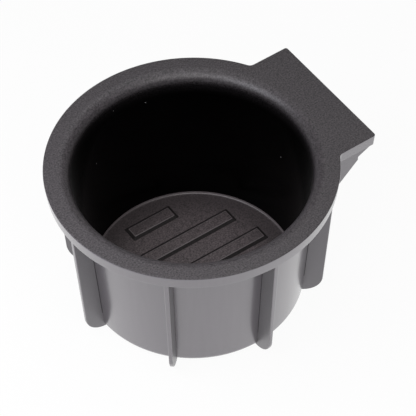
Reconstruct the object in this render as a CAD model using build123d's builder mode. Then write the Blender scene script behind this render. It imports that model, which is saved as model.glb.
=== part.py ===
"""Drop-in cup holder insert for a car console: one moulded piece with a rim, a tab, fins and floor bars."""

import os
from math import radians, sqrt, tan

from build123d import *

# Cup: the origin is the centre of the base underside, and the tab points along +X
overall_height = 62.9
cup_draft = 4.1
wall_top = 1.5
wall_base = 2.9
floor_thickness = 2.8
base_round = 3.0
floor_bevel = 1.0

# Rim, with its down-turned skirt
rim_radius = 54.0
rim_overhang = 8.2
rim_plate = 2.4
skirt_depth = 5.3
skirt_wall = 2.0
skirt_draft = 5.0
lip_round = 4.9
neck_bevel = 1.6

# Tab, level with the rim
tab_reach = 63.0
tab_width = 55.3
tab_corner_round = 1.0
tab_side_blend = 2.3

# Fins round the outside, one place in the ring being the tab's
fin_places = 8
fin_inset = 1.0
fin_draft = 3.9
fin_thickness_top = 1.8
fin_thickness_base = 1.4
fin_toe_round = 9.0

# Gussets that carry the tab: a wedge from the tab's end, a step, then a slope to the cup wall
gusset_thickness = 1.8
gusset_inset = 0.9
gusset_wedge_run = 6.2
gusset_wedge_drop = 3.0
gusset_step = 1.5
gusset_slope = 43.4

# Raised bars on the cup floor, parallel to the tab's own axis
bar_pitch = 14.3
bar_width = 7.0
bar_height = 0.9
bar_bevel = 1.25
bar_half_lengths = (32.2, 27.5, 10.3)

# Sizes that follow from those above
cup_slope = tan(radians(cup_draft))
plate_underside = overall_height - rim_plate
plate_middle = overall_height - rim_plate / 2
skirt_bottom = overall_height - skirt_depth
skirt_lean = skirt_depth * tan(radians(skirt_draft))
neck_radius = rim_radius - rim_overhang
base_radius = neck_radius - plate_underside * cup_slope
bore_floor_radius = base_radius + floor_thickness * cup_slope - wall_base
bore_top_radius = base_radius + overall_height * cup_slope - wall_top
fin_slope = tan(radians(fin_draft))
fin_base_radius = rim_radius - skirt_lean - fin_inset - skirt_bottom * fin_slope
fin_top_radius = fin_base_radius + plate_middle * fin_slope
fin_base_root = base_radius - base_round - wall_base / 2
fin_top_root = base_radius + plate_middle * cup_slope - wall_top / 2
fin_spacing = 360 / fin_places
gusset_face = tab_width / 2 - gusset_inset
gusset_root = sqrt((base_radius - wall_base) ** 2 - gusset_face**2)
gusset_tip = tab_reach - skirt_lean - skirt_wall / 4
gusset_corner = gusset_tip - gusset_wedge_run
gusset_step_foot = skirt_bottom - gusset_wedge_drop - gusset_step
gusset_foot = gusset_step_foot - (gusset_corner - gusset_root) * tan(radians(gusset_slope))

# One fin: it narrows downwards, as the mould needs, and has a round toe
with BuildPart() as fin:
    with BuildSketch(Plane.XY):
        with Locations(((fin_base_root + fin_base_radius) / 2, 0)):
            Rectangle(fin_base_radius - fin_base_root, fin_thickness_base)
    with BuildSketch(Plane.XY.offset(plate_middle)):
        with Locations(((fin_top_root + fin_top_radius) / 2, 0)):
            Rectangle(fin_top_radius - fin_top_root, fin_thickness_top)
    loft()
    toe = fin.edges().filter_by(Axis.Y).group_by(Axis.Z)[0].sort_by(Axis.X)[-1]
    fillet(toe, radius=min(fin_toe_round, 0.9 * (fin_base_radius - fin_base_root)))

with BuildPart() as insert:
    # Rim and tab share one outline, and its skirt leans in towards the bottom
    with BuildSketch(Plane.XY.offset(overall_height)) as outline:
        Circle(rim_radius)
        with Locations((tab_reach / 2, 0)):
            Rectangle(tab_reach, tab_width)
        fillet(outline.vertices().group_by(Axis.X)[-1], radius=tab_corner_round)
        fillet(outline.vertices().group_by(Axis.X)[0], radius=tab_side_blend)
    extrude(amount=-skirt_depth, taper=skirt_draft)

    # The underside is hollowed to leave a plate and a skirt of even thickness
    with BuildSketch(Plane.XY.offset(skirt_bottom)):
        add(outline.sketch_local)
        offset(amount=-skirt_lean - skirt_wall)
    extrude(amount=skirt_depth - rim_plate, taper=skirt_draft, mode=Mode.SUBTRACT)

    # Outside of the cup, bevelled out to the underside of the rim
    with BuildSketch(Plane.XZ) as cup_section:
        with BuildLine():
            Polyline(
                (0, 0),
                (base_radius, 0),
                (neck_radius - neck_bevel * cup_slope, plate_underside - neck_bevel),
                (neck_radius + neck_bevel, plate_underside),
                (neck_radius + neck_bevel, plate_middle),
                (0, plate_middle),
                close=True,
            )
        make_face()
        fillet(cup_section.vertices().group_by(Axis.Y)[0].sort_by(Axis.X)[-1], radius=base_round)
    revolve(axis=Axis.Z)

    # Fins in every place of the ring but the tab's
    with PolarLocations(0, fin_places - 1, start_angle=fin_spacing, angular_range=360 - fin_spacing):
        add(fin.part)

    # A pair of gussets between the tab and the cup wall
    for side in (-1, 1):
        with BuildSketch(Plane.XZ.offset(side * (gusset_face - gusset_thickness / 2))):
            with BuildLine():
                Polyline(
                    (gusset_root, plate_middle),
                    (gusset_tip, plate_middle),
                    (gusset_tip, skirt_bottom),
                    (gusset_corner, skirt_bottom - gusset_wedge_drop),
                    (gusset_corner, gusset_step_foot),
                    (gusset_root, gusset_foot),
                    close=True,
                )
            make_face()
        extrude(amount=gusset_thickness / 2, both=True)

    # Inside of the cup, with a bevelled floor corner and a rounded lip
    with BuildSketch(Plane.XZ) as bore_section:
        with BuildLine():
            Polyline(
                (0, floor_thickness),
                (bore_floor_radius, floor_thickness),
                (bore_top_radius, overall_height),
                (bore_top_radius, overall_height + rim_plate),
                (0, overall_height + rim_plate),
                close=True,
            )
        make_face()
        chamfer(bore_section.vertices().group_by(Axis.Y)[0].sort_by(Axis.X)[-1], length=floor_bevel)
    revolve(axis=Axis.Z, mode=Mode.SUBTRACT)
    fillet(insert.faces().sort_by(Axis.Z)[-1].inner_wires().edges(), radius=lip_round)

    # Floor bars with bevelled sides, shorter towards the edge of the floor
    outermost = len(bar_half_lengths) - 1
    for place in range(-outermost, outermost + 1):
        half_length = bar_half_lengths[abs(place)]
        with BuildSketch(Plane.XY.offset(floor_thickness)):
            with Locations((0, place * bar_pitch)):
                Rectangle(2 * half_length, bar_width)
        with BuildSketch(Plane.XY.offset(floor_thickness + bar_height)):
            with Locations((0, place * bar_pitch)):
                Rectangle(2 * (half_length - bar_bevel), bar_width - 2 * bar_bevel)
        loft()

insert.part.label = "cup_holder_insert"

os.makedirs("parts", exist_ok=True)
export_step(insert.part, "parts/cup_holder_insert.step")
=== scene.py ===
from math import atan2, cos, degrees, pi, radians, sin, sqrt, tan

import bmesh
import bpy
from mathutils import Matrix, Quaternion, Vector


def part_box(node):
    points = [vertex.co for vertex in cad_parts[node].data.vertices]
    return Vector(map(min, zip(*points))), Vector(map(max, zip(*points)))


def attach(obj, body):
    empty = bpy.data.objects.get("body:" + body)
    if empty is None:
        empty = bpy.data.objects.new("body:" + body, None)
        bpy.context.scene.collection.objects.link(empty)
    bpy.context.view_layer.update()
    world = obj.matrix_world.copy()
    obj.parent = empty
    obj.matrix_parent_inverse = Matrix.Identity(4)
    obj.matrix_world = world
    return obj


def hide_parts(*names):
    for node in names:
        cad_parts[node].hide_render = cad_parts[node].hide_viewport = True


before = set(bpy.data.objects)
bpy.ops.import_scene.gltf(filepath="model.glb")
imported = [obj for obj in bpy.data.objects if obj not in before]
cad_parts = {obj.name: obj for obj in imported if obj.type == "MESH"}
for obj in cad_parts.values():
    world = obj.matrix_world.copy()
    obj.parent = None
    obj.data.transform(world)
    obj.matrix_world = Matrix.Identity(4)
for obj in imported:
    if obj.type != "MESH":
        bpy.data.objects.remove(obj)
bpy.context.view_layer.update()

mm = 0.001
cadNode = "cup_holder_insert"
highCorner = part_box(cadNode)[1]
rimTop = highCorner.z / mm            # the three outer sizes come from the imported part
rimRadius = highCorner.y / mm
tabReach = highCorner.x / mm
print("frame: rim radius", round(rimRadius, 2), "height", round(rimTop, 2), "tab reach", round(tabReach, 2))


# helpers for sections and meshes, all in millimetres

def arcPoints(centre, radius, startDeg, endDeg, steps):
    points = []
    for k in range(steps + 1):
        a = radians(startDeg + (endDeg - startDeg) * k / steps)
        points.append((centre[0] + radius * cos(a), centre[1] + radius * sin(a)))
    return points


def tangentShift(slope, radius):          # from the end of a leaning wall to the centre of the round there
    return radius * (sqrt(1 + slope ** 2) - slope)


def newPiece(name, mesh):
    piece = bpy.data.objects.new(name, mesh)
    bpy.context.scene.collection.objects.link(piece)
    return piece


def meshFrom(bm, name):
    bm.transform(Matrix.Scale(mm, 4))     # drawn in millimetres, kept in metres
    mesh = bpy.data.meshes.new(name)
    bm.to_mesh(mesh)
    bm.free()
    mesh.shade_smooth()
    return mesh


def keepFlatsFlat(piece):                 # small rounds shade softly, big faces stay flat
    piece.modifiers.new("flatFaces", "WEIGHTED_NORMAL").keep_sharp = True


# cup, rim and tab as one skin: one section followed all round, with the rim part swung out along the tab

cup = {
    "floorHeight": 2.8,
    "floorRadius": 38.76,
    "floorRound": 1.0,
    "mouthRadius": 44.47,      # inner wall carried up to the level of the rim's top
    "lipRound": 4.9,
    "baseRadius": 41.46,
    "baseRound": 3.0,
    "outerDraft": 4.1,
    "plate": 2.4,              # thickness of the rim and tab
    "neckRound": 3.4,
    "floorShares": (0.25, 0.5, 0.75),      # rings across floor and underside, as shares of the radius
    "baseShares": (0.7, 0.4),
    "steps": {"floorCorner": 5, "bore": 10, "lip": 18, "neck": 8, "wall": 12, "baseEdge": 10},
}
rim = {
    "tabWidth": 55.3,
    "tabCorner": 1.0,
    "leastCorner": 0.25,       # what is left of that corner as the outline is drawn in
    "tabBlend": 2.3,
    "topEdge": 0.35,
    "topShares": (0.35, 0.7),  # rings across the flat top, from the lip to the edge
    "skirtDepth": 5.3,
    "skirtWall": 2.0,
    "skirtDraft": 5.0,
    "skirtEdge": 0.35,
    "channelRound": 0.8,
    "steps": {"tabEnd": 14, "corner": 5, "side": 4, "blend": 5, "rimArc": 100, "edge": 4},
}
cupSlope = tan(radians(cup["outerDraft"]))
boreSlope = (cup["mouthRadius"] - cup["floorRadius"]) / (rimTop - cup["floorHeight"])
boreDraft = degrees(atan2(boreSlope, 1))
skirtSlope = tan(radians(rim["skirtDraft"]))
plateUnderside = rimTop - cup["plate"]
plateMiddle = rimTop - cup["plate"] / 2
skirtBottom = rimTop - rim["skirtDepth"]
lipCentre = (cup["mouthRadius"] + tangentShift(boreSlope, cup["lipRound"]), rimTop - cup["lipRound"])
inside, bore, floor, hollow, satin = range(5)      # places in the skin's list of finishes


def outerRadius(height):
    return cup["baseRadius"] + cupSlope * height


def boreRadius(height):
    return cup["floorRadius"] + boreSlope * (height - cup["floorHeight"])


def innerRadius(height):                  # the inside of the cup, with its rounded lip
    if height < lipCentre[1]:
        return boreRadius(height)
    return lipCentre[0] - sqrt(cup["lipRound"] ** 2 - (height - lipCentre[1]) ** 2)


def outlinePoints(inset):                 # rim and tab seen from above, drawn in by an even inset
    steps = rim["steps"]
    halfWidth = rim["tabWidth"] / 2 - inset
    reach = tabReach - inset
    corner = max(rim["tabCorner"] - inset, rim["leastCorner"])
    blend = rim["tabBlend"] + inset       # a hollow corner opens up as the outline is drawn in
    blendY = rim["tabWidth"] / 2 + rim["tabBlend"]
    blendX = sqrt((rimRadius + rim["tabBlend"]) ** 2 - blendY ** 2)
    turn = atan2(blendY, blendX)
    half = []
    for k in range(steps["tabEnd"]):
        half.append((reach, (halfWidth - corner) * k / steps["tabEnd"]))
    half += arcPoints((reach - corner, halfWidth - corner), corner, 0, 90, steps["corner"])
    for k in range(1, steps["side"]):
        half.append((reach - corner + (blendX - reach + corner) * k / steps["side"], halfWidth))
    half += arcPoints((blendX, blendY), blend, -90, degrees(turn) - 180, steps["blend"])
    for k in range(1, steps["rimArc"] + 1):
        a = turn + (pi - turn) * k / steps["rimArc"]
        half.append(((rimRadius - inset) * cos(a), (rimRadius - inset) * sin(a)))
    return half + [(x, -y) for x, y in half[-2:0:-1]]


pointsAround = len(outlinePoints(0))


def outlineRing(inset, height):
    return [Vector((x, y, height)) for x, y in outlinePoints(inset)]


def circleRing(radius, height):
    turns = [2 * pi * k / pointsAround for k in range(pointsAround)]
    return [Vector((radius * cos(a), radius * sin(a), height)) for a in turns]


def wallRings(radiusAt, start, end, count):    # only the rings between the two ends
    heights = [start + (end - start) * k / count for k in range(1, count)]
    return [circleRing(radiusAt(h), h) for h in heights]


def insideRings():                        # floor, its hollow corner, the inner wall and the lip
    floorRound, floorHeight, steps = cup["floorRound"], cup["floorHeight"], cup["steps"]
    cornerCentre = (cup["floorRadius"] - tangentShift(boreSlope, floorRound), floorHeight + floorRound)
    corner = arcPoints(cornerCentre, floorRound, -90, -boreDraft, steps["floorCorner"])
    lip = arcPoints(lipCentre, cup["lipRound"], 180 - boreDraft, 90, steps["lip"])
    rings = [(circleRing(cornerCentre[0] * share, floorHeight), floor) for share in cup["floorShares"]]
    rings += [(circleRing(r, z), floor) for r, z in corner[:2]]
    rings += [(circleRing(r, z), hollow) for r, z in corner[2:-1]]
    rings.append((circleRing(*corner[-1]), bore))
    rings += [(ring, bore) for ring in wallRings(boreRadius, corner[-1][1], lip[0][1], steps["bore"])]
    rings += [(circleRing(r, z), inside) for r, z in lip]
    return rings


def topRings(inner):                      # flat top, out to the edge of rim and tab
    edgeRound = rim["topEdge"]
    edge = outlineRing(edgeRound, rimTop)
    rings = []
    for share in rim["topShares"]:
        rings.append(([a.lerp(b, share) for a, b in zip(inner, edge)], inside))
    edgeArc = arcPoints((edgeRound, edgeRound), edgeRound, 270, 180, rim["steps"]["edge"])
    for k, (inset, drop) in enumerate(edgeArc):      # the top's finish runs a little way over the edge
        rings.append((outlineRing(inset, rimTop - drop), inside if k < 2 else satin))
    return rings


def skirtRings():                         # outside, foot and inside of the skirt, then its inner corner
    edgeRound, channel, steps = rim["skirtEdge"], rim["channelRound"], rim["steps"]["edge"]
    foot = rim["skirtDepth"] * skirtSlope
    innerFoot = foot + rim["skirtWall"]
    section = arcPoints((foot + edgeRound, edgeRound), edgeRound, 180, 270, steps)
    section += arcPoints((innerFoot - edgeRound, edgeRound), edgeRound, 270, 360, steps)
    rise = rim["skirtDepth"] - cup["plate"]
    section += arcPoints((innerFoot + channel, rise - channel), channel, 180, 90, steps)
    return [(outlineRing(inset, skirtBottom + z), satin) for inset, z in section]


def outsideRings():                       # neck, outer wall, rounded base edge and underside
    neckRound, baseRound, steps = cup["neckRound"], cup["baseRound"], cup["steps"]
    neckTop = outerRadius(plateUnderside)
    neckCentre = (neckTop + tangentShift(cupSlope, neckRound), plateUnderside - neckRound)
    baseCentre = (cup["baseRadius"] - tangentShift(cupSlope, baseRound), baseRound)
    neck = arcPoints(neckCentre, neckRound, 90, 180 - cup["outerDraft"], steps["neck"])
    base = arcPoints(baseCentre, baseRound, -cup["outerDraft"], -90, steps["baseEdge"])
    rings = [circleRing(r, z) for r, z in neck]
    rings += wallRings(outerRadius, neck[-1][1], base[0][1], steps["wall"])
    rings += [circleRing(r, z) for r, z in base]
    rings += [circleRing(baseCentre[0] * share, 0) for share in cup["baseShares"]]
    return [(ring, satin) for ring in rings]


def buildCupSkin():
    rings = insideRings()                 # each ring comes with the finish of the band that follows it
    rings += topRings(rings[-1][0]) + skirtRings() + outsideRings()
    bm = bmesh.new()
    loops = [[bm.verts.new(p) for p in ring] for ring, finish in rings]
    floorCentre = bm.verts.new((0, 0, cup["floorHeight"]))
    baseCentre = bm.verts.new((0, 0, 0))
    for i in range(pointsAround):
        j = (i + 1) % pointsAround
        bm.faces.new((floorCentre, loops[0][i], loops[0][j])).material_index = floor
        bm.faces.new((loops[-1][i], baseCentre, loops[-1][j])).material_index = satin
        for k in range(len(loops) - 1):
            a, b = loops[k], loops[k + 1]
            bm.faces.new((a[i], b[i], b[j], a[j])).material_index = rings[k][1]
    return newPiece("cupSkin", meshFrom(bm, "cupSkin"))


cupSkin = buildCupSkin()
print("cup skin:", len(cupSkin.data.polygons), "faces,", pointsAround, "points around")


# fins: one is swept down its outer edge and round its toe, and a node tree repeats it round the cup

fin = {
    "places": 8,               # one of them is the tab's
    "inset": 1.0,              # from the foot of the skirt
    "draft": 3.9,
    "toeRound": 9.0,
    "thicknessTop": 1.8,
    "thicknessBase": 1.4,
    "edgeRound": 0.3,
    "rootRound": 0.26,
    "sunk": 0.1,               # how deep the root's foot lies in the wall
    "buried": 0.7,             # how much of the fin goes on beyond that foot
    "skinLeft": 0.6,           # wall that stays between the fin's end and the inside of the cup
    "leastRun": 0.01,          # keeps the room for the fin finite where it runs straight up
    "intoPlate": 0.3,          # how far it runs up into the rim
    "broadLimit": 0.9,         # part of a normal across the fin, above which a face is a broad side
    "steps": {"straight": 12, "toe": 14, "edge": 4, "root": 5},
}
finSlope = tan(radians(fin["draft"]))
finFoot = rimRadius - rim["skirtDepth"] * skirtSlope - fin["inset"] - skirtBottom * finSlope


def finSection(half, depth):              # across the fin, from its outer edge in to its end in the wall
    edge, root, steps = fin["edgeRound"], fin["rootRound"], fin["steps"]
    side = [(half + root, depth + fin["buried"])]
    side += arcPoints((half + root, depth - root), root, 90, 180, steps["root"])
    side += arcPoints((half - edge, edge), edge, 0, -90, steps["edge"])
    return side + [(-u, v) for u, v in reversed(side)]


def finPath():                            # radius, height and way in, down the outer edge and round the toe
    toe, steps = fin["toeRound"], fin["steps"]
    centre = (finFoot - tangentShift(finSlope, toe), toe)
    arc = arcPoints(centre, toe, -fin["draft"], -90, steps["toe"])
    lean = radians(fin["draft"])
    topHeight = plateUnderside + fin["intoPlate"]
    path = []
    for k in range(steps["straight"]):
        height = topHeight + (arc[0][1] - topHeight) * k / steps["straight"]
        path.append((finFoot + finSlope * height, height, (-cos(lean), sin(lean))))
    for r, z in arc:
        path.append((r, z, ((centre[0] - r) / toe, (centre[1] - z) / toe)))
    toeEnd, inner = arc[-1][0], cup["baseRadius"] - cup["baseRound"]
    path += [((toeEnd + inner) / 2, 0, (0, 1)), (inner, 0, (0, 1))]      # on under the cup's rounded edge
    return path


def finMesh():
    bm = bmesh.new()
    broadSide = bm.faces.layers.int.new("broadSide")
    rootShadeFaces = bm.faces.layers.int.new("rootShadeFaces")
    loops = []
    for r, z, (inR, inZ) in finPath():
        half = (fin["thicknessBase"] + (fin["thicknessTop"] - fin["thicknessBase"]) * z / plateMiddle) / 2
        depth = finFoot - cup["baseRadius"] + (finSlope - cupSlope) * z + fin["sunk"]
        if inZ == 1 and r < cup["baseRadius"] - cup["baseRound"] / 2:
            room = cup["floorHeight"] - fin["skinLeft"]     # under the cup it stays within the floor
        else:
            innerWall = innerRadius(z + inZ * (depth + fin["buried"]))
            room = (r - innerWall - fin["skinLeft"]) / max(-inR, fin["leastRun"])
        section = finSection(half, min(depth, room - fin["buried"]))
        loops.append([bm.verts.new((r + inR * v, u, z + inZ * v)) for u, v in section])
    around = len(loops[0])
    for a, b in zip(loops, loops[1:]):
        for i in range(around):
            face = bm.faces.new((a[i], a[(i + 1) % around], b[(i + 1) % around], b[i]))
            fromEnd = min(i, around - 2 - i)      # the two roots are at the section's two ends
            # faces of the root rounds, which carry the painted root shade
            face[rootShadeFaces] = fromEnd <= fin["steps"]["root"]
    bm.faces.new(loops[0])
    bm.faces.new(loops[-1])
    bmesh.ops.recalc_face_normals(bm, faces=bm.faces)
    for face in bm.faces:
        face[broadSide] = abs(face.normal.y) > fin["broadLimit"]
    return meshFrom(bm, "fin")


def newTree(name, inputs):
    tree = bpy.data.node_groups.new(name, "GeometryNodeTree")
    tree.interface.new_socket("Geometry", in_out="OUTPUT", socket_type="NodeSocketGeometry")
    for label, kind in inputs:
        tree.interface.new_socket(label, in_out="INPUT", socket_type=kind)
    return tree, tree.nodes.new("NodeGroupInput"), tree.nodes.new("NodeGroupOutput")


def mathNode(tree, operation, a, b):      # a and b are sockets or plain numbers
    node = tree.nodes.new("ShaderNodeMath")
    node.operation = operation
    for slot, value in zip(node.inputs, (a, b)):
        if isinstance(value, (int, float)):
            slot.default_value = value
        else:
            tree.links.new(value, slot)
    return node.outputs[0]


def realized(tree, instances):
    realize = tree.nodes.new("GeometryNodeRealizeInstances")
    tree.links.new(instances, realize.inputs["Geometry"])
    return realize.outputs["Geometry"]


def painted(tree, geometry, finish, where=None):
    paint = tree.nodes.new("GeometryNodeSetMaterial")
    tree.links.new(geometry, paint.inputs["Geometry"])
    tree.links.new(finish, paint.inputs["Material"])
    if where:
        tree.links.new(where, paint.inputs["Selection"])
    return paint.outputs["Geometry"]


def runTree(piece, tree, values):         # the result becomes a plain mesh, and the modifier goes
    modifier = piece.modifiers.new(tree.name, "NODES")
    modifier.node_group = tree
    for item in tree.interface.items_tree:
        if item.in_out == "INPUT" and item.name in values:
            modifier[item.identifier] = values[item.name]
    graph = bpy.context.evaluated_depsgraph_get()
    result = bpy.data.meshes.new_from_object(piece.evaluated_get(graph), depsgraph=graph)
    piece.modifiers.remove(modifier)
    piece.data = result
    result.name = piece.name


def finRingTree():
    tree, groupIn, groupOut = newTree("finRing", [
        ("Geometry", "NodeSocketGeometry"), ("Places", "NodeSocketInt"), ("Finish", "NodeSocketMaterial"),
        ("Side Finish", "NodeSocketMaterial"), ("Root Shade Finish", "NodeSocketMaterial")])
    places = tree.nodes.new("GeometryNodePoints")
    index = tree.nodes.new("GeometryNodeInputIndex")
    turn = tree.nodes.new("ShaderNodeCombineXYZ")
    put = tree.nodes.new("GeometryNodeInstanceOnPoints")
    count = mathNode(tree, "SUBTRACT", groupIn.outputs["Places"], 1)      # the tab's place stays empty
    step = mathNode(tree, "DIVIDE", 2 * pi, groupIn.outputs["Places"])
    place = mathNode(tree, "ADD", index.outputs[0], 1)
    tree.links.new(count, places.inputs["Count"])
    tree.links.new(mathNode(tree, "MULTIPLY", place, step), turn.inputs["Z"])
    tree.links.new(places.outputs[0], put.inputs["Points"])
    tree.links.new(groupIn.outputs["Geometry"], put.inputs["Instance"])
    tree.links.new(turn.outputs[0], put.inputs["Rotation"])
    ring = painted(tree, realized(tree, put.outputs["Instances"]), groupIn.outputs["Finish"])
    for layer, finish in (("broadSide", "Side Finish"), ("rootShadeFaces", "Root Shade Finish")):
        faces = tree.nodes.new("GeometryNodeInputNamedAttribute")
        faces.data_type = "INT"
        faces.inputs["Name"].default_value = layer
        ring = painted(tree, ring, groupIn.outputs[finish], faces.outputs["Attribute"])
    tree.links.new(ring, groupOut.inputs["Geometry"])
    return tree


# gussets under the tab's two sides: a wedge, a step, then a slope down to the cup

gusset = {
    "thickness": 1.8,
    "inset": 0.9,              # from the tab's side
    "wedgeRun": 6.2,
    "wedgeDrop": 3.0,
    "step": 1.5,
    "slope": 43.4,
    "buried": 0.7,             # its root in the cup's wall
    "skinLeft": 1.2,           # from the inside of the lip to its root in the rim
    "edgeRound": 0.25,
    "edgeSteps": 3,
}


def gussetMesh():
    face = rim["tabWidth"] / 2 - gusset["inset"]
    tip = tabReach - rim["skirtDepth"] * skirtSlope - rim["skirtWall"] / 4
    corner = tip - gusset["wedgeRun"]
    stepFoot = skirtBottom - gusset["wedgeDrop"] - gusset["step"]

    def rootAt(radius):                   # where the middle of the gusset's thickness meets that radius
        return sqrt(radius ** 2 - (face - gusset["thickness"] / 2) ** 2)

    def wallRoot(height):
        return rootAt(outerRadius(height) - gusset["buried"])

    neck = plateUnderside - cup["neckRound"]
    foot = stepFoot
    for repeat in range(20):              # settles on the slope's foot, where it runs into the wall
        foot = stepFoot - (corner - wallRoot(foot)) * tan(radians(gusset["slope"]))
    outline = [
        (rootAt(innerRadius(plateMiddle) + gusset["skinLeft"]), plateMiddle),
        (tip, plateMiddle),
        (tip, skirtBottom),
        (corner, skirtBottom - gusset["wedgeDrop"]),
        (corner, stepFoot),
        (wallRoot(foot), foot),
        (wallRoot(neck), neck),
    ]
    bm = bmesh.new()
    for side in (1, -1):
        near = [bm.verts.new((x, side * (face - gusset["thickness"]), z)) for x, z in outline]
        far = [bm.verts.new((x, side * face, z)) for x, z in outline]
        bm.faces.new(near)
        bm.faces.new(far)
        for i in range(len(outline)):
            j = (i + 1) % len(outline)
            bm.faces.new((near[i], near[j], far[j], far[i]))
    bmesh.ops.recalc_face_normals(bm, faces=bm.faces)
    bmesh.ops.bevel(bm, geom=bm.edges[:], offset=gusset["edgeRound"], segments=gusset["edgeSteps"],
                    profile=0.5, affect="EDGES")
    return meshFrom(bm, "tabGussets")


# floor bars: one bar with sloping sides, set out and stretched by a node tree

bar = {
    "count": 5,
    "pitch": 14.3,
    "width": 7.0,
    "height": 0.9,
    "bevel": 1.25,
    "edgeRound": 0.7,
    "footRound": 0.55,
    "cornerRound": 0.3,
    "buried": 0.5,
    "unitHalf": 8.0,           # half length of the bar that is stretched
    "middleHalf": 32.2,
    "secondHalf": 27.5,
    "outerHalf": 10.3,
    "flatLimit": 0.985,        # upright part of a normal, above which a face is level
    "edgeLimit": 0.84,         # and above which it belongs to the rounded top edge, which gets the painted highlight
    "steps": {"foot": 3, "edge": 4, "corner": 3},
}


def barProfile():                         # (inwards, up) from the foot of the slope
    lean = atan2(bar["height"], bar["bevel"])
    foot, edge, steps = bar["footRound"], bar["edgeRound"], bar["steps"]
    footRun, edgeRun = foot * tan(lean / 2), edge * tan(lean / 2)
    profile = [(-footRun, -bar["buried"])]
    profile += arcPoints((-footRun, foot), foot, -90, degrees(lean) - 90, steps["foot"])
    edgeCentre = (bar["bevel"] + edgeRun, bar["height"] - edge)
    profile += arcPoints(edgeCentre, edge, degrees(lean) + 90, 90, steps["edge"])
    return profile


def barLoop(inwards):                     # the bar seen from above, with small rounds at its corners
    turn = bar["cornerRound"]
    x, y = bar["unitHalf"] - inwards - turn, bar["width"] / 2 - inwards - turn
    loop = []
    for quarter, (sideX, sideY) in enumerate(((1, 1), (-1, 1), (-1, -1), (1, -1))):
        start = 90 * quarter
        loop += arcPoints((sideX * x, sideY * y), turn, start, start + 90, bar["steps"]["corner"])
    return loop


def barMesh():
    bm = bmesh.new()
    loops = []
    for inwards, up in barProfile():
        height = cup["floorHeight"] + up
        loops.append([bm.verts.new((x, y, height)) for x, y in barLoop(inwards)])
    for a, b in zip(loops, loops[1:]):
        for i in range(len(a)):
            j = (i + 1) % len(a)
            bm.faces.new((a[i], a[j], b[j], b[i]))
    bm.faces.new(loops[-1])
    bm.faces.new(loops[0][::-1])
    bmesh.ops.recalc_face_normals(bm, faces=bm.faces)
    return meshFrom(bm, "floorBar")


def floorBarTree():
    tree, groupIn, groupOut = newTree("floorBars", [
        ("Geometry", "NodeSocketGeometry"), ("Count", "NodeSocketInt"), ("Pitch", "NodeSocketFloat"),
        ("Unit Half", "NodeSocketFloat"), ("Middle Half", "NodeSocketFloat"),
        ("Second Half", "NodeSocketFloat"), ("Outer Half", "NodeSocketFloat"),
        ("Half Up", "NodeSocketFloat"), ("Finish", "NodeSocketMaterial"),
        ("Slope Finish", "NodeSocketMaterial"), ("Edge Highlight Finish", "NodeSocketMaterial")])
    places = tree.nodes.new("GeometryNodePoints")
    index = tree.nodes.new("GeometryNodeInputIndex")
    place = tree.nodes.new("ShaderNodeCombineXYZ")
    put = tree.nodes.new("GeometryNodeInstanceOnPoints")
    pick = tree.nodes.new("GeometryNodeIndexSwitch")
    keep = tree.nodes.new("GeometryNodeStoreNamedAttribute")
    middle = mathNode(tree, "DIVIDE", mathNode(tree, "SUBTRACT", groupIn.outputs["Count"], 1), 2)
    offset = mathNode(tree, "SUBTRACT", index.outputs[0], middle)
    tree.links.new(groupIn.outputs["Count"], places.inputs["Count"])
    tree.links.new(mathNode(tree, "MULTIPLY", offset, groupIn.outputs["Pitch"]), place.inputs["Y"])
    tree.links.new(place.outputs[0], places.inputs["Position"])

    pick.data_type = "FLOAT"              # bars pair up outwards from the middle one
    pick.index_switch_items.new()
    tree.links.new(mathNode(tree, "ABSOLUTE", offset, 0), pick.inputs["Index"])
    for k, label in enumerate(("Middle Half", "Second Half", "Outer Half")):
        tree.links.new(groupIn.outputs[label], pick.inputs[str(k)])
    keep.domain = "POINT"
    keep.inputs["Name"].default_value = "stretch"
    tree.links.new(places.outputs[0], keep.inputs["Geometry"])
    stretch = mathNode(tree, "SUBTRACT", pick.outputs[0], groupIn.outputs["Unit Half"])
    tree.links.new(stretch, keep.inputs["Value"])
    tree.links.new(keep.outputs["Geometry"], put.inputs["Points"])
    tree.links.new(groupIn.outputs["Geometry"], put.inputs["Instance"])

    def stretchEnds(geometry):            # each half slides out, so the end slopes keep their shape
        read = tree.nodes.new("GeometryNodeInputNamedAttribute")
        at = tree.nodes.new("GeometryNodeInputPosition")
        split = tree.nodes.new("ShaderNodeSeparateXYZ")
        slide = tree.nodes.new("ShaderNodeCombineXYZ")
        move = tree.nodes.new("GeometryNodeSetPosition")
        read.data_type = "FLOAT"
        read.inputs["Name"].default_value = "stretch"
        tree.links.new(at.outputs[0], split.inputs[0])
        way = mathNode(tree, "SIGN", split.outputs["X"], 0)
        tree.links.new(mathNode(tree, "MULTIPLY", way, read.outputs["Attribute"]), slide.inputs["X"])
        tree.links.new(slide.outputs[0], move.inputs["Offset"])
        tree.links.new(geometry, move.inputs["Geometry"])
        return move.outputs["Geometry"]

    normal = tree.nodes.new("GeometryNodeInputNormal")
    lean = tree.nodes.new("ShaderNodeSeparateXYZ")
    tree.links.new(normal.outputs[0], lean.inputs[0])
    at = tree.nodes.new("GeometryNodeInputPosition")
    level = tree.nodes.new("ShaderNodeSeparateXYZ")
    tree.links.new(at.outputs[0], level.inputs[0])
    sloping = mathNode(tree, "LESS_THAN", lean.outputs["Z"], bar["flatLimit"])
    gentle = mathNode(tree, "GREATER_THAN", lean.outputs["Z"], bar["edgeLimit"])
    high = mathNode(tree, "GREATER_THAN", level.outputs["Z"], groupIn.outputs["Half Up"])
    topEdge = mathNode(tree, "MULTIPLY", mathNode(tree, "MULTIPLY", sloping, gentle), high)
    bars = painted(tree, stretchEnds(realized(tree, put.outputs["Instances"])), groupIn.outputs["Finish"])
    bars = painted(tree, bars, groupIn.outputs["Slope Finish"], sloping)
    # the rounded top edges take the floor corner's finish, whose lighter base is a painted highlight
    bars = painted(tree, bars, groupIn.outputs["Edge Highlight Finish"], topEdge)
    tree.links.new(bars, groupOut.inputs["Geometry"])
    return tree


# shared shader groups

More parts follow.
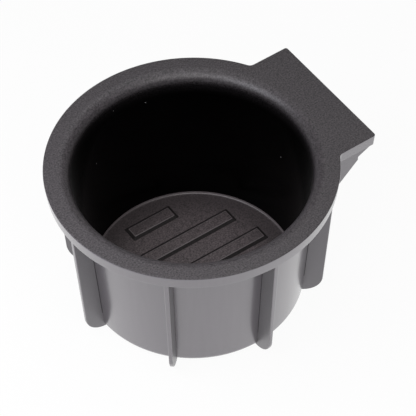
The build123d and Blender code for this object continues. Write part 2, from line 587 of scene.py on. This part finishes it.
def newGroup(name, inputs, outputs):
    group = bpy.data.node_groups.new(name, "ShaderNodeTree")
    for label, value in inputs:
        socket = group.interface.new_socket(label, in_out="INPUT", socket_type="NodeSocketFloat")
        socket.default_value = value
    for label in outputs:
        group.interface.new_socket(label, in_out="OUTPUT", socket_type="NodeSocketFloat")
    return group, group.nodes.new("NodeGroupInput"), group.nodes.new("NodeGroupOutput")


def ramp(tree, value, lowIn, highIn, lowOut, highOut, smooth=False):
    node = tree.nodes.new("ShaderNodeMapRange")
    node.interpolation_type = "SMOOTHSTEP" if smooth else "LINEAR"
    tree.links.new(value, node.inputs["Value"])
    limits = {"From Min": lowIn, "From Max": highIn, "To Min": lowOut, "To Max": highOut}
    for label, number in limits.items():
        node.inputs[label].default_value = number
    return node.outputs[0]


noiseSpan = (0.3, 0.7)         # most of a noise texture's values lie between these


def spread(tree, value, low, high):       # a noise value brought between low and high
    return ramp(tree, value, *noiseSpan, low, high)


moulding = {                   # spark-eroded grain: fine pits over a slightly larger pebble
    "scale": 1800.0,
    "fineDetail": 2.0,
    "fineRoughness": 0.6,
    "pebbleScale": 0.6,        # of the fine grain's scale
    "pebbleSmoothness": 0.6,
    "pebbleShare": 0.35,
    "cloudScale": 45.0,        # broad, faint unevenness
    "cloudDetail": 3.0,
}


def mouldGrainGroup(look):
    scales = [("Scale", look["scale"]), ("Cloud Scale", look["cloudScale"])]
    group, groupIn, groupOut = newGroup("mouldGrain", scales, ["Height", "Shade", "Cloud"])
    where = group.nodes.new("ShaderNodeTexCoord")
    fine = group.nodes.new("ShaderNodeTexNoise")
    pebble = group.nodes.new("ShaderNodeTexVoronoi")
    cloud = group.nodes.new("ShaderNodeTexNoise")
    fine.inputs["Detail"].default_value = look["fineDetail"]
    fine.inputs["Roughness"].default_value = look["fineRoughness"]
    pebble.feature = "SMOOTH_F1"
    pebble.inputs["Smoothness"].default_value = look["pebbleSmoothness"]
    cloud.inputs["Detail"].default_value = look["cloudDetail"]
    for texture in (fine, pebble, cloud):
        group.links.new(where.outputs["Object"], texture.inputs["Vector"])
    group.links.new(groupIn.outputs["Scale"], fine.inputs["Scale"])
    pebbleScale = mathNode(group, "MULTIPLY", groupIn.outputs["Scale"], look["pebbleScale"])
    group.links.new(pebbleScale, pebble.inputs["Scale"])
    group.links.new(groupIn.outputs["Cloud Scale"], cloud.inputs["Scale"])
    pits = mathNode(group, "MULTIPLY", fine.outputs[0], 1 - look["pebbleShare"])
    pebbles = mathNode(group, "MULTIPLY", pebble.outputs["Distance"], look["pebbleShare"])
    group.links.new(mathNode(group, "ADD", pits, pebbles), groupOut.inputs["Height"])
    group.links.new(fine.outputs[0], groupOut.inputs["Shade"])
    group.links.new(cloud.outputs[0], groupOut.inputs["Cloud"])
    return group


def dustGroup():                          # a few pale specks, far apart
    sizes = [("Scale", 60.0), ("Size", 0.012), ("Share", 0.1)]
    group, groupIn, groupOut = newGroup("dustSpecks", sizes, ["Speck"])
    where = group.nodes.new("ShaderNodeTexCoord")
    cells = group.nodes.new("ShaderNodeTexVoronoi")
    split = group.nodes.new("ShaderNodeSeparateColor")
    group.links.new(where.outputs["Object"], cells.inputs["Vector"])
    group.links.new(groupIn.outputs["Scale"], cells.inputs["Scale"])
    group.links.new(cells.outputs["Color"], split.inputs[0])
    near = mathNode(group, "LESS_THAN", cells.outputs["Distance"], groupIn.outputs["Size"])
    chosen = mathNode(group, "LESS_THAN", split.outputs[0], groupIn.outputs["Share"])
    group.links.new(mathNode(group, "MULTIPLY", near, chosen), groupOut.inputs["Speck"])
    return group


# how the grain ends below the rim's top and the bore's painted shade takes over: depth where each part is
# gone, depth where it is full, its share
grainEnd = {
    "lip": (5.0, 0.9, 0.85),
    "tail": (9.0, 3.0, 0.15),
}


def grainFadeGroup():                     # 1 on the top, falling to 0 down the lip and the first of the bore
    group, _, groupOut = newGroup("grainAndShadeFade", [], ["Amount"])
    where = group.nodes.new("ShaderNodeTexCoord")
    split = group.nodes.new("ShaderNodeSeparateXYZ")
    group.links.new(where.outputs["Object"], split.inputs[0])
    parts = []
    for goneDepth, fullDepth, share in grainEnd.values():
        gone, full = (rimTop - goneDepth) * mm, (rimTop - fullDepth) * mm
        parts.append(ramp(group, split.outputs["Z"], gone, full, 0, share, smooth=True))
    group.links.new(mathNode(group, "ADD", *parts), groupOut.inputs["Amount"])
    return group


mouldGrain = mouldGrainGroup(moulding)
dustSpecks = dustGroup()
grainAndShadeFade = grainFadeGroup()


# finishes of the moulding

def blend(tree, factor, first, second):   # colours are sockets or (red, green, blue)
    node = tree.nodes.new("ShaderNodeMix")
    node.data_type = "RGBA"
    tree.links.new(factor, node.inputs["Factor"])
    for slot, colour in ((node.inputs[6], first), (node.inputs[7], second)):
        if isinstance(colour, tuple):
            slot.default_value = (*colour, 1)
        else:
            tree.links.new(colour, slot)
    return node.outputs[2]


def newPlastic(name, look):
    material = bpy.data.materials.new(name)
    material.use_nodes = True
    tree = material.node_tree
    plastic = tree.nodes["Principled BSDF"]
    plastic.inputs["IOR"].default_value = look["ior"]
    return material, tree, plastic


def addCoat(plastic, look):
    plastic.inputs["Specular Tint"].default_value = (*look["tint"], 1)
    plastic.inputs["Coat Weight"].default_value = 1.0
    plastic.inputs["Coat IOR"].default_value = look["coatIor"]
    plastic.inputs["Coat Roughness"].default_value = look["coatRoughness"]


def addHaze(plastic, look):               # faint bloom on the plastic, seen along the surface
    plastic.inputs["Sheen Weight"].default_value = look["haze"]
    plastic.inputs["Sheen Roughness"].default_value = look["hazeRoughness"]


def placed(tree, group, values):
    node = tree.nodes.new("ShaderNodeGroup")
    node.node_tree = group
    for label, number in values.items():
        node.inputs[label].default_value = number
    return node.outputs


def vary(tree, value, look):              # roughness that swings a little with a noise value
    return spread(tree, value, look["roughness"] - look["swing"], look["roughness"] + look["swing"])


def addBump(tree, plastic, height, look):
    bump = tree.nodes.new("ShaderNodeBump")
    bump.inputs["Strength"].default_value = look["bump"]
    bump.inputs["Distance"].default_value = look["bumpDepth"] * mm
    tree.links.new(height, bump.inputs["Height"])
    tree.links.new(bump.outputs[0], plastic.inputs["Normal"])


insideSkinLook = {             # grained on top, fading over the lip to the polished bore, whose near-black base is painted shade
    "ior": 1.5,
    "pit": (0.0151, 0.0136, 0.0146),
    "peak": (0.0965, 0.0869, 0.0930),
    "roughness": 0.46,
    "swing": 0.03,
    "lipRoughness": 0.42,
    "lipFade": (1.5, 0.2),     # depths between which the top turns to the smoother lip
    "bump": 0.6,
    "bumpDepth": 0.1,
    "grainScale": 1700.0,
    # painted shade: the bore's near-black base
    "bore": (0.0007, 0.0006, 0.00063),
    "boreRoughness": 0.14,
    "haze": 0.04,
    "hazeRoughness": 0.3,
}


def insideSkinFinish(look):
    material, tree, plastic = newPlastic("insideSkin", look)
    addHaze(plastic, look)
    grain = placed(tree, mouldGrain, {"Scale": look["grainScale"]})
    where = tree.nodes.new("ShaderNodeTexCoord")
    split = tree.nodes.new("ShaderNodeSeparateXYZ")
    tree.links.new(where.outputs["Object"], split.inputs[0])
    onTop = placed(tree, grainAndShadeFade, {})["Amount"]
    grained = blend(tree, spread(tree, grain["Shade"], 0, 1), look["pit"], look["peak"])
    tree.links.new(blend(tree, onTop, look["bore"], grained), plastic.inputs["Base Color"])
    rough = ramp(tree, onTop, 0, 1, look["boreRoughness"], look["lipRoughness"])
    foot, top = [(rimTop - depth) * mm for depth in look["lipFade"]]
    rise = look["roughness"] - look["lipRoughness"]
    rough = mathNode(tree, "ADD", rough, ramp(tree, split.outputs["Z"], foot, top, 0, rise, smooth=True))
    patchy = spread(tree, grain["Cloud"], -look["swing"], look["swing"])
    tree.links.new(mathNode(tree, "ADD", rough, patchy), plastic.inputs["Roughness"])
    addBump(tree, plastic, mathNode(tree, "MULTIPLY", grain["Height"], onTop), look)
    return material


boreWallShadeLook = {               # polished, and all but black: the near-black base is painted shade inside the cup, far darker than the same plastic on top
    "ior": 1.17,
    "low": (0.0003, 0.00026, 0.00027),
    "high": (0.0007, 0.0006, 0.00063),
    "roughness": 0.2,
    "swing": 0.03,
    "haze": 0.027,
    "hazeRoughness": 0.3,
    "dust": {"Scale": 150.0, "Size": 0.03, "Share": 0.5},
    "speck": (0.25, 0.25, 0.25),
}


def boreWallFinish(look):
    material, tree, plastic = newPlastic("boreWallShade", look)
    addHaze(plastic, look)
    grain = placed(tree, mouldGrain, {})
    dust = placed(tree, dustSpecks, look["dust"])
    plain = blend(tree, spread(tree, grain["Cloud"], 0, 1), look["low"], look["high"])
    shade = spread(tree, grain["Shade"], 0, 1)
    grained = blend(tree, shade, insideSkinLook["pit"], insideSkinLook["peak"])      # the lip's grain
    # painted shade: lighter just under the grained top, near-black further down the bore
    plain = blend(tree, placed(tree, grainAndShadeFade, {})["Amount"], plain, grained)
    tree.links.new(blend(tree, dust["Speck"], plain, look["speck"]), plastic.inputs["Base Color"])
    tree.links.new(vary(tree, grain["Cloud"], look), plastic.inputs["Roughness"])
    return material


cupFloorLook = {
    "ior": 1.45,
    "pit": (0.0221, 0.0185, 0.0194),
    "peak": (0.132, 0.1096, 0.1135),
    "roughness": 0.5,
    "swing": 0.03,
    "bump": 0.5,
    "bumpDepth": 0.1,
    "grainScale": 1700.0,
    "edge": (23.0, 37.0),      # radii between which a painted shade darkens it towards the wall
    "wallShadeDepth": 0.6,
}


def cupFloorFinish(look):
    material, tree, plastic = newPlastic("cupFloor", look)
    grain = placed(tree, mouldGrain, {"Scale": look["grainScale"]})
    grained = blend(tree, spread(tree, grain["Shade"], 0, 1), look["pit"], look["peak"])
    where = tree.nodes.new("ShaderNodeTexCoord")
    away = tree.nodes.new("ShaderNodeVectorMath")
    away.operation = "LENGTH"
    tree.links.new(where.outputs["Object"], away.inputs[0])
    start, end = [radius * mm for radius in look["edge"]]
    # painted shade: the floor's colour darkens towards the wall, standing in for the shade the walls cast
    # there
    paintedWallShade = ramp(tree, away.outputs["Value"], start, end, 0, look["wallShadeDepth"], smooth=True)
    tree.links.new(blend(tree, paintedWallShade, grained, look["pit"]), plastic.inputs["Base Color"])
    tree.links.new(vary(tree, grain["Cloud"], look), plastic.inputs["Roughness"])
    addBump(tree, plastic, grain["Height"], look)
    return material


floorCornerHighlightLook = {            # smooth hollow corner round the floor; its gloss catches the light, and its base, lighter than the floor's, is a painted highlight
    "ior": 1.5,
    "low": (0.105, 0.092, 0.095),
    "high": (0.140, 0.122, 0.127),
    "roughness": 0.3,
    "swing": 0.03,
}
barSlopeLook = {               # sides of the floor bars, polished like the bore
    "ior": 1.2,
    "low": (0.0152, 0.0138, 0.0138),
    "high": (0.0264, 0.0238, 0.0238),
    "roughness": 0.45,
    "swing": 0.03,
}
paintedRootShadeLook = {                # painted shade: a dark line where a fin runs into the wall, standing in for the shade in that corner
    "ior": 1.25,
    "low": (0.018, 0.017, 0.018),
    "high": (0.027, 0.025, 0.027),
    "roughness": 0.6,
    "swing": 0.03,
}


def smoothFinish(name, look):
    material, tree, plastic = newPlastic(name, look)
    grain = placed(tree, mouldGrain, {})
    colour = blend(tree, spread(tree, grain["Shade"], 0, 1), look["low"], look["high"])
    tree.links.new(colour, plastic.inputs["Base Color"])
    tree.links.new(vary(tree, grain["Cloud"], look), plastic.inputs["Roughness"])
    return material


satinWallLook = {              # outside: satin, with faint marks in the direction of draw
    "ior": 1.85,
    "tint": (0.95, 0.885, 1.0),
    "coatIor": 1.88,
    "coatRoughness": 0.2,
    "low": (0.050, 0.040, 0.051),
    "high": (0.061, 0.050, 0.063),
    "roughness": 0.34,
    "swing": 0.02,
    "markScale": (500.0, 500.0, 14.0),
    "dust": {"Scale": 150.0, "Size": 0.03, "Share": 0.12},
    "speck": (0.4, 0.4, 0.4),
}


def satinWallFinish(look):
    material, tree, plastic = newPlastic("satinWall", look)
    addCoat(plastic, look)
    where = tree.nodes.new("ShaderNodeTexCoord")
    stretch = tree.nodes.new("ShaderNodeMapping")
    stretch.inputs["Scale"].default_value = look["markScale"]
    marks = tree.nodes.new("ShaderNodeTexNoise")
    marks.inputs["Scale"].default_value = 1.0      # the mapping sets it
    tree.links.new(where.outputs["Object"], stretch.inputs["Vector"])
    tree.links.new(stretch.outputs[0], marks.inputs["Vector"])
    grain = placed(tree, mouldGrain, {})
    dust = placed(tree, dustSpecks, look["dust"])
    plain = blend(tree, spread(tree, marks.outputs[0], 0, 1), look["low"], look["high"])
    tree.links.new(blend(tree, dust["Speck"], plain, look["speck"]), plastic.inputs["Base Color"])
    patchy = spread(tree, grain["Cloud"], -look["swing"], look["swing"])
    rough = mathNode(tree, "ADD", vary(tree, marks.outputs[0], look), patchy)
    tree.links.new(rough, plastic.inputs["Roughness"])
    return material


finSideLook = {                # broad sides of the fins, duller than the wall
    "ior": 1.85,
    "tint": (0.95, 0.885, 1.0),
    "coatIor": 1.7,
    "coatRoughness": 0.42,
    "low": (0.031, 0.028, 0.031),
    "high": (0.039, 0.036, 0.039),
    "roughness": 0.45,
    "swing": 0.04,
}
gussetLook = {                 # between those of the wall and of the fins' sides
    "ior": 1.85,
    "tint": (0.95, 0.885, 1.0),
    "coatIor": 1.8,
    "coatRoughness": 0.3,
    "low": (0.045, 0.038, 0.046),
    "high": (0.054, 0.047, 0.055),
    "roughness": 0.4,
    "swing": 0.04,
}


def dullFinish(name, look):
    material, tree, plastic = newPlastic(name, look)
    addCoat(plastic, look)
    grain = placed(tree, mouldGrain, {})
    colour = blend(tree, spread(tree, grain["Cloud"], 0, 1), look["low"], look["high"])
    tree.links.new(colour, plastic.inputs["Base Color"])
    tree.links.new(vary(tree, grain["Shade"], look), plastic.inputs["Roughness"])
    return material


insideSkin = insideSkinFinish(insideSkinLook)
boreWallShade = boreWallFinish(boreWallShadeLook)
cupFloor = cupFloorFinish(cupFloorLook)
floorCorner = smoothFinish("floorCorner", floorCornerHighlightLook)
satinWall = satinWallFinish(satinWallLook)
for material in (insideSkin, boreWallShade, cupFloor, floorCorner, satinWall):
    cupSkin.data.materials.append(material)
print("finishes on the skin:", len(cupSkin.data.materials))

fins = newPiece("fins", finMesh())
runTree(fins, finRingTree(), {
    "Places": fin["places"], "Finish": satinWall, "Side Finish": dullFinish("finSide", finSideLook),
    "Root Shade Finish": smoothFinish("finRootPaintedShade", paintedRootShadeLook)})
print("fins:", len(fins.data.polygons), "faces")

gussets = newPiece("tabGussets", gussetMesh())
gussets.data.materials.append(dullFinish("tabGusset", gussetLook))

floorBars = newPiece("floorBars", barMesh())
runTree(floorBars, floorBarTree(), {
    "Count": bar["count"], "Pitch": bar["pitch"] * mm, "Unit Half": bar["unitHalf"] * mm,
    "Middle Half": bar["middleHalf"] * mm, "Second Half": bar["secondHalf"] * mm,
    "Outer Half": bar["outerHalf"] * mm, "Half Up": (cup["floorHeight"] + bar["height"] / 2) * mm,
    "Finish": cupFloor, "Slope Finish": smoothFinish("barSlope", barSlopeLook), "Edge Highlight Finish": floorCorner})
print("gussets and bars:", len(gussets.data.polygons), len(floorBars.data.polygons), "faces")


# camera

camera = {
    "lens": 225.0,
    "sensor": 36.0,
    "clip": (0.05, 20.0),
    "distance": 941.9,          # from the middle of the rim
    "azimuth": 236.07,
    "elevation": 48.18,
    "aim": (-7.26, -20.56),     # where the lens points, on the level of the rim
    "roll": -1.056,
}


def buildCamera():
    data = bpy.data.cameras.new("photoCamera")
    data.lens = camera["lens"]
    data.sensor_width = camera["sensor"]
    data.clip_start, data.clip_end = camera["clip"]
    lens = bpy.data.objects.new("photoCamera", data)
    bpy.context.scene.collection.objects.link(lens)
    azimuth, elevation = radians(camera["azimuth"]), radians(camera["elevation"])
    level = Vector((cos(azimuth), sin(azimuth), 0)) * cos(elevation)
    place = (level + Vector((0, 0, sin(elevation)))) * camera["distance"] + Vector((0, 0, rimTop))
    aim = Vector((camera["aim"][0], camera["aim"][1], rimTop))
    turn = (aim - place).to_track_quat("-Z", "Y") @ Quaternion((0, 0, 1), radians(camera["roll"]))
    lens.matrix_world = Matrix.Translation(place * mm) @ turn.to_matrix().to_4x4()
    bpy.context.scene.camera = lens


buildCamera()
bpy.context.scene.view_settings.view_transform = "Standard"


# white table and plain soft light

stage = {                      # lengths in metres
    "tableRadius": 3.0,
    "tableSides": 96,
    "tableDrop": 0.0001,       # just clear of the base
    "tableEdge": 0.4,          # height of the table's upturned edge, the backdrop in low views
    "tableWhite": 0.92,
    "tableLift": 0.95,         # how far the table is lifted to plain white where it is seen
    "dome": 0.66,              # light straight overhead, falling off to the horizon
    "domeFall": 8.0,
}
lamps = {                      # seen from the middle of the rim
    "backBox": {"azimuth": 45.0, "elevation": 60.0, "distance": 0.90, "size": 0.48, "power": 1.0,
                "colour": (1.0, 1.0, 1.0)},
    "leftBox": {"azimuth": 170.0, "elevation": 45.0, "distance": 0.20, "size": 0.17, "power": 0.320,
                "colour": (0.93, 0.935, 1.0)},
    "frontBox": {"azimuth": 246.0, "elevation": 60.0, "distance": 0.30, "size": 0.26, "power": 0.48,
                 "colour": (1.0, 0.97, 0.97)},
}


def seenDirectly(tree):                   # 1 for camera, glossy and transmission rays
    path = tree.nodes.new("ShaderNodeLightPath")
    either = mathNode(tree, "MAXIMUM", path.outputs["Is Camera Ray"], path.outputs["Is Glossy Ray"])
    return mathNode(tree, "MAXIMUM", either, path.outputs["Is Transmission Ray"])


def tableFinish():
    material = bpy.data.materials.new("whiteTable")
    material.use_nodes = True
    tree = material.node_tree
    tree.nodes.clear()
    out = tree.nodes.new("ShaderNodeOutputMaterial")
    mix = tree.nodes.new("ShaderNodeMixShader")
    matt = tree.nodes.new("ShaderNodeBsdfDiffuse")
    glow = tree.nodes.new("ShaderNodeEmission")
    matt.inputs["Color"].default_value = (stage["tableWhite"], stage["tableWhite"], stage["tableWhite"], 1)
    tree.links.new(mathNode(tree, "MULTIPLY", seenDirectly(tree), stage["tableLift"]), mix.inputs[0])
    tree.links.new(matt.outputs[0], mix.inputs[1])
    tree.links.new(glow.outputs[0], mix.inputs[2])
    tree.links.new(mix.outputs[0], out.inputs["Surface"])
    return material


def buildTable():
    bm = bmesh.new()
    radius, sides = stage["tableRadius"], stage["tableSides"]
    bottom = bmesh.ops.create_circle(bm, cap_ends=True, radius=radius, segments=sides)["verts"]
    bmesh.ops.translate(bm, verts=bottom, vec=(0, 0, -stage["tableDrop"]))
    edge = [e for e in bm.edges if e.is_boundary]
    raised = bmesh.ops.extrude_edge_only(bm, edges=edge)["geom"]
    upper = [part for part in raised if isinstance(part, bmesh.types.BMVert)]
    bmesh.ops.translate(bm, verts=upper, vec=(0, 0, stage["tableEdge"]))
    mesh = bpy.data.meshes.new("table")
    bm.to_mesh(mesh)
    bm.free()
    mesh.materials.append(tableFinish())
    newPiece("table", mesh)


def buildLight():
    world = bpy.data.worlds.new("room")
    world.use_nodes = True
    tree = world.node_tree
    where = tree.nodes.new("ShaderNodeTexCoord")
    split = tree.nodes.new("ShaderNodeSeparateXYZ")
    tree.links.new(where.outputs["Generated"], split.inputs[0])
    up = mathNode(tree, "MAXIMUM", split.outputs["Z"], 0)
    dome = mathNode(tree, "MULTIPLY", mathNode(tree, "POWER", up, stage["domeFall"]), stage["dome"])
    background = tree.nodes["Background"]
    background.inputs["Color"].default_value = (1, 1, 1, 1)
    tree.links.new(dome, background.inputs["Strength"])
    bpy.context.scene.world = world
    for name, look in lamps.items():
        data = bpy.data.lights.new(name, "AREA")
        data.shape = "DISK"
        data.size = look["size"]
        data.energy = look["power"]
        data.color = look["colour"]
        lamp = bpy.data.objects.new(name, data)
        azimuth, elevation = radians(look["azimuth"]), radians(look["elevation"])
        way = Vector((cos(azimuth) * cos(elevation), sin(azimuth) * cos(elevation), sin(elevation)))
        lamp.location = way * look["distance"] + Vector((0, 0, rimTop * mm))
        lamp.rotation_euler = (-way).to_track_quat("-Z", "Y").to_euler()
        lamp.visible_camera = False
        bpy.context.scene.collection.objects.link(lamp)


buildTable()
buildLight()
print("camera, table and light set")

for piece in (cupSkin, fins, gussets, floorBars):
    keepFlatsFlat(piece)
    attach(piece, "root")
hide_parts(cadNode)
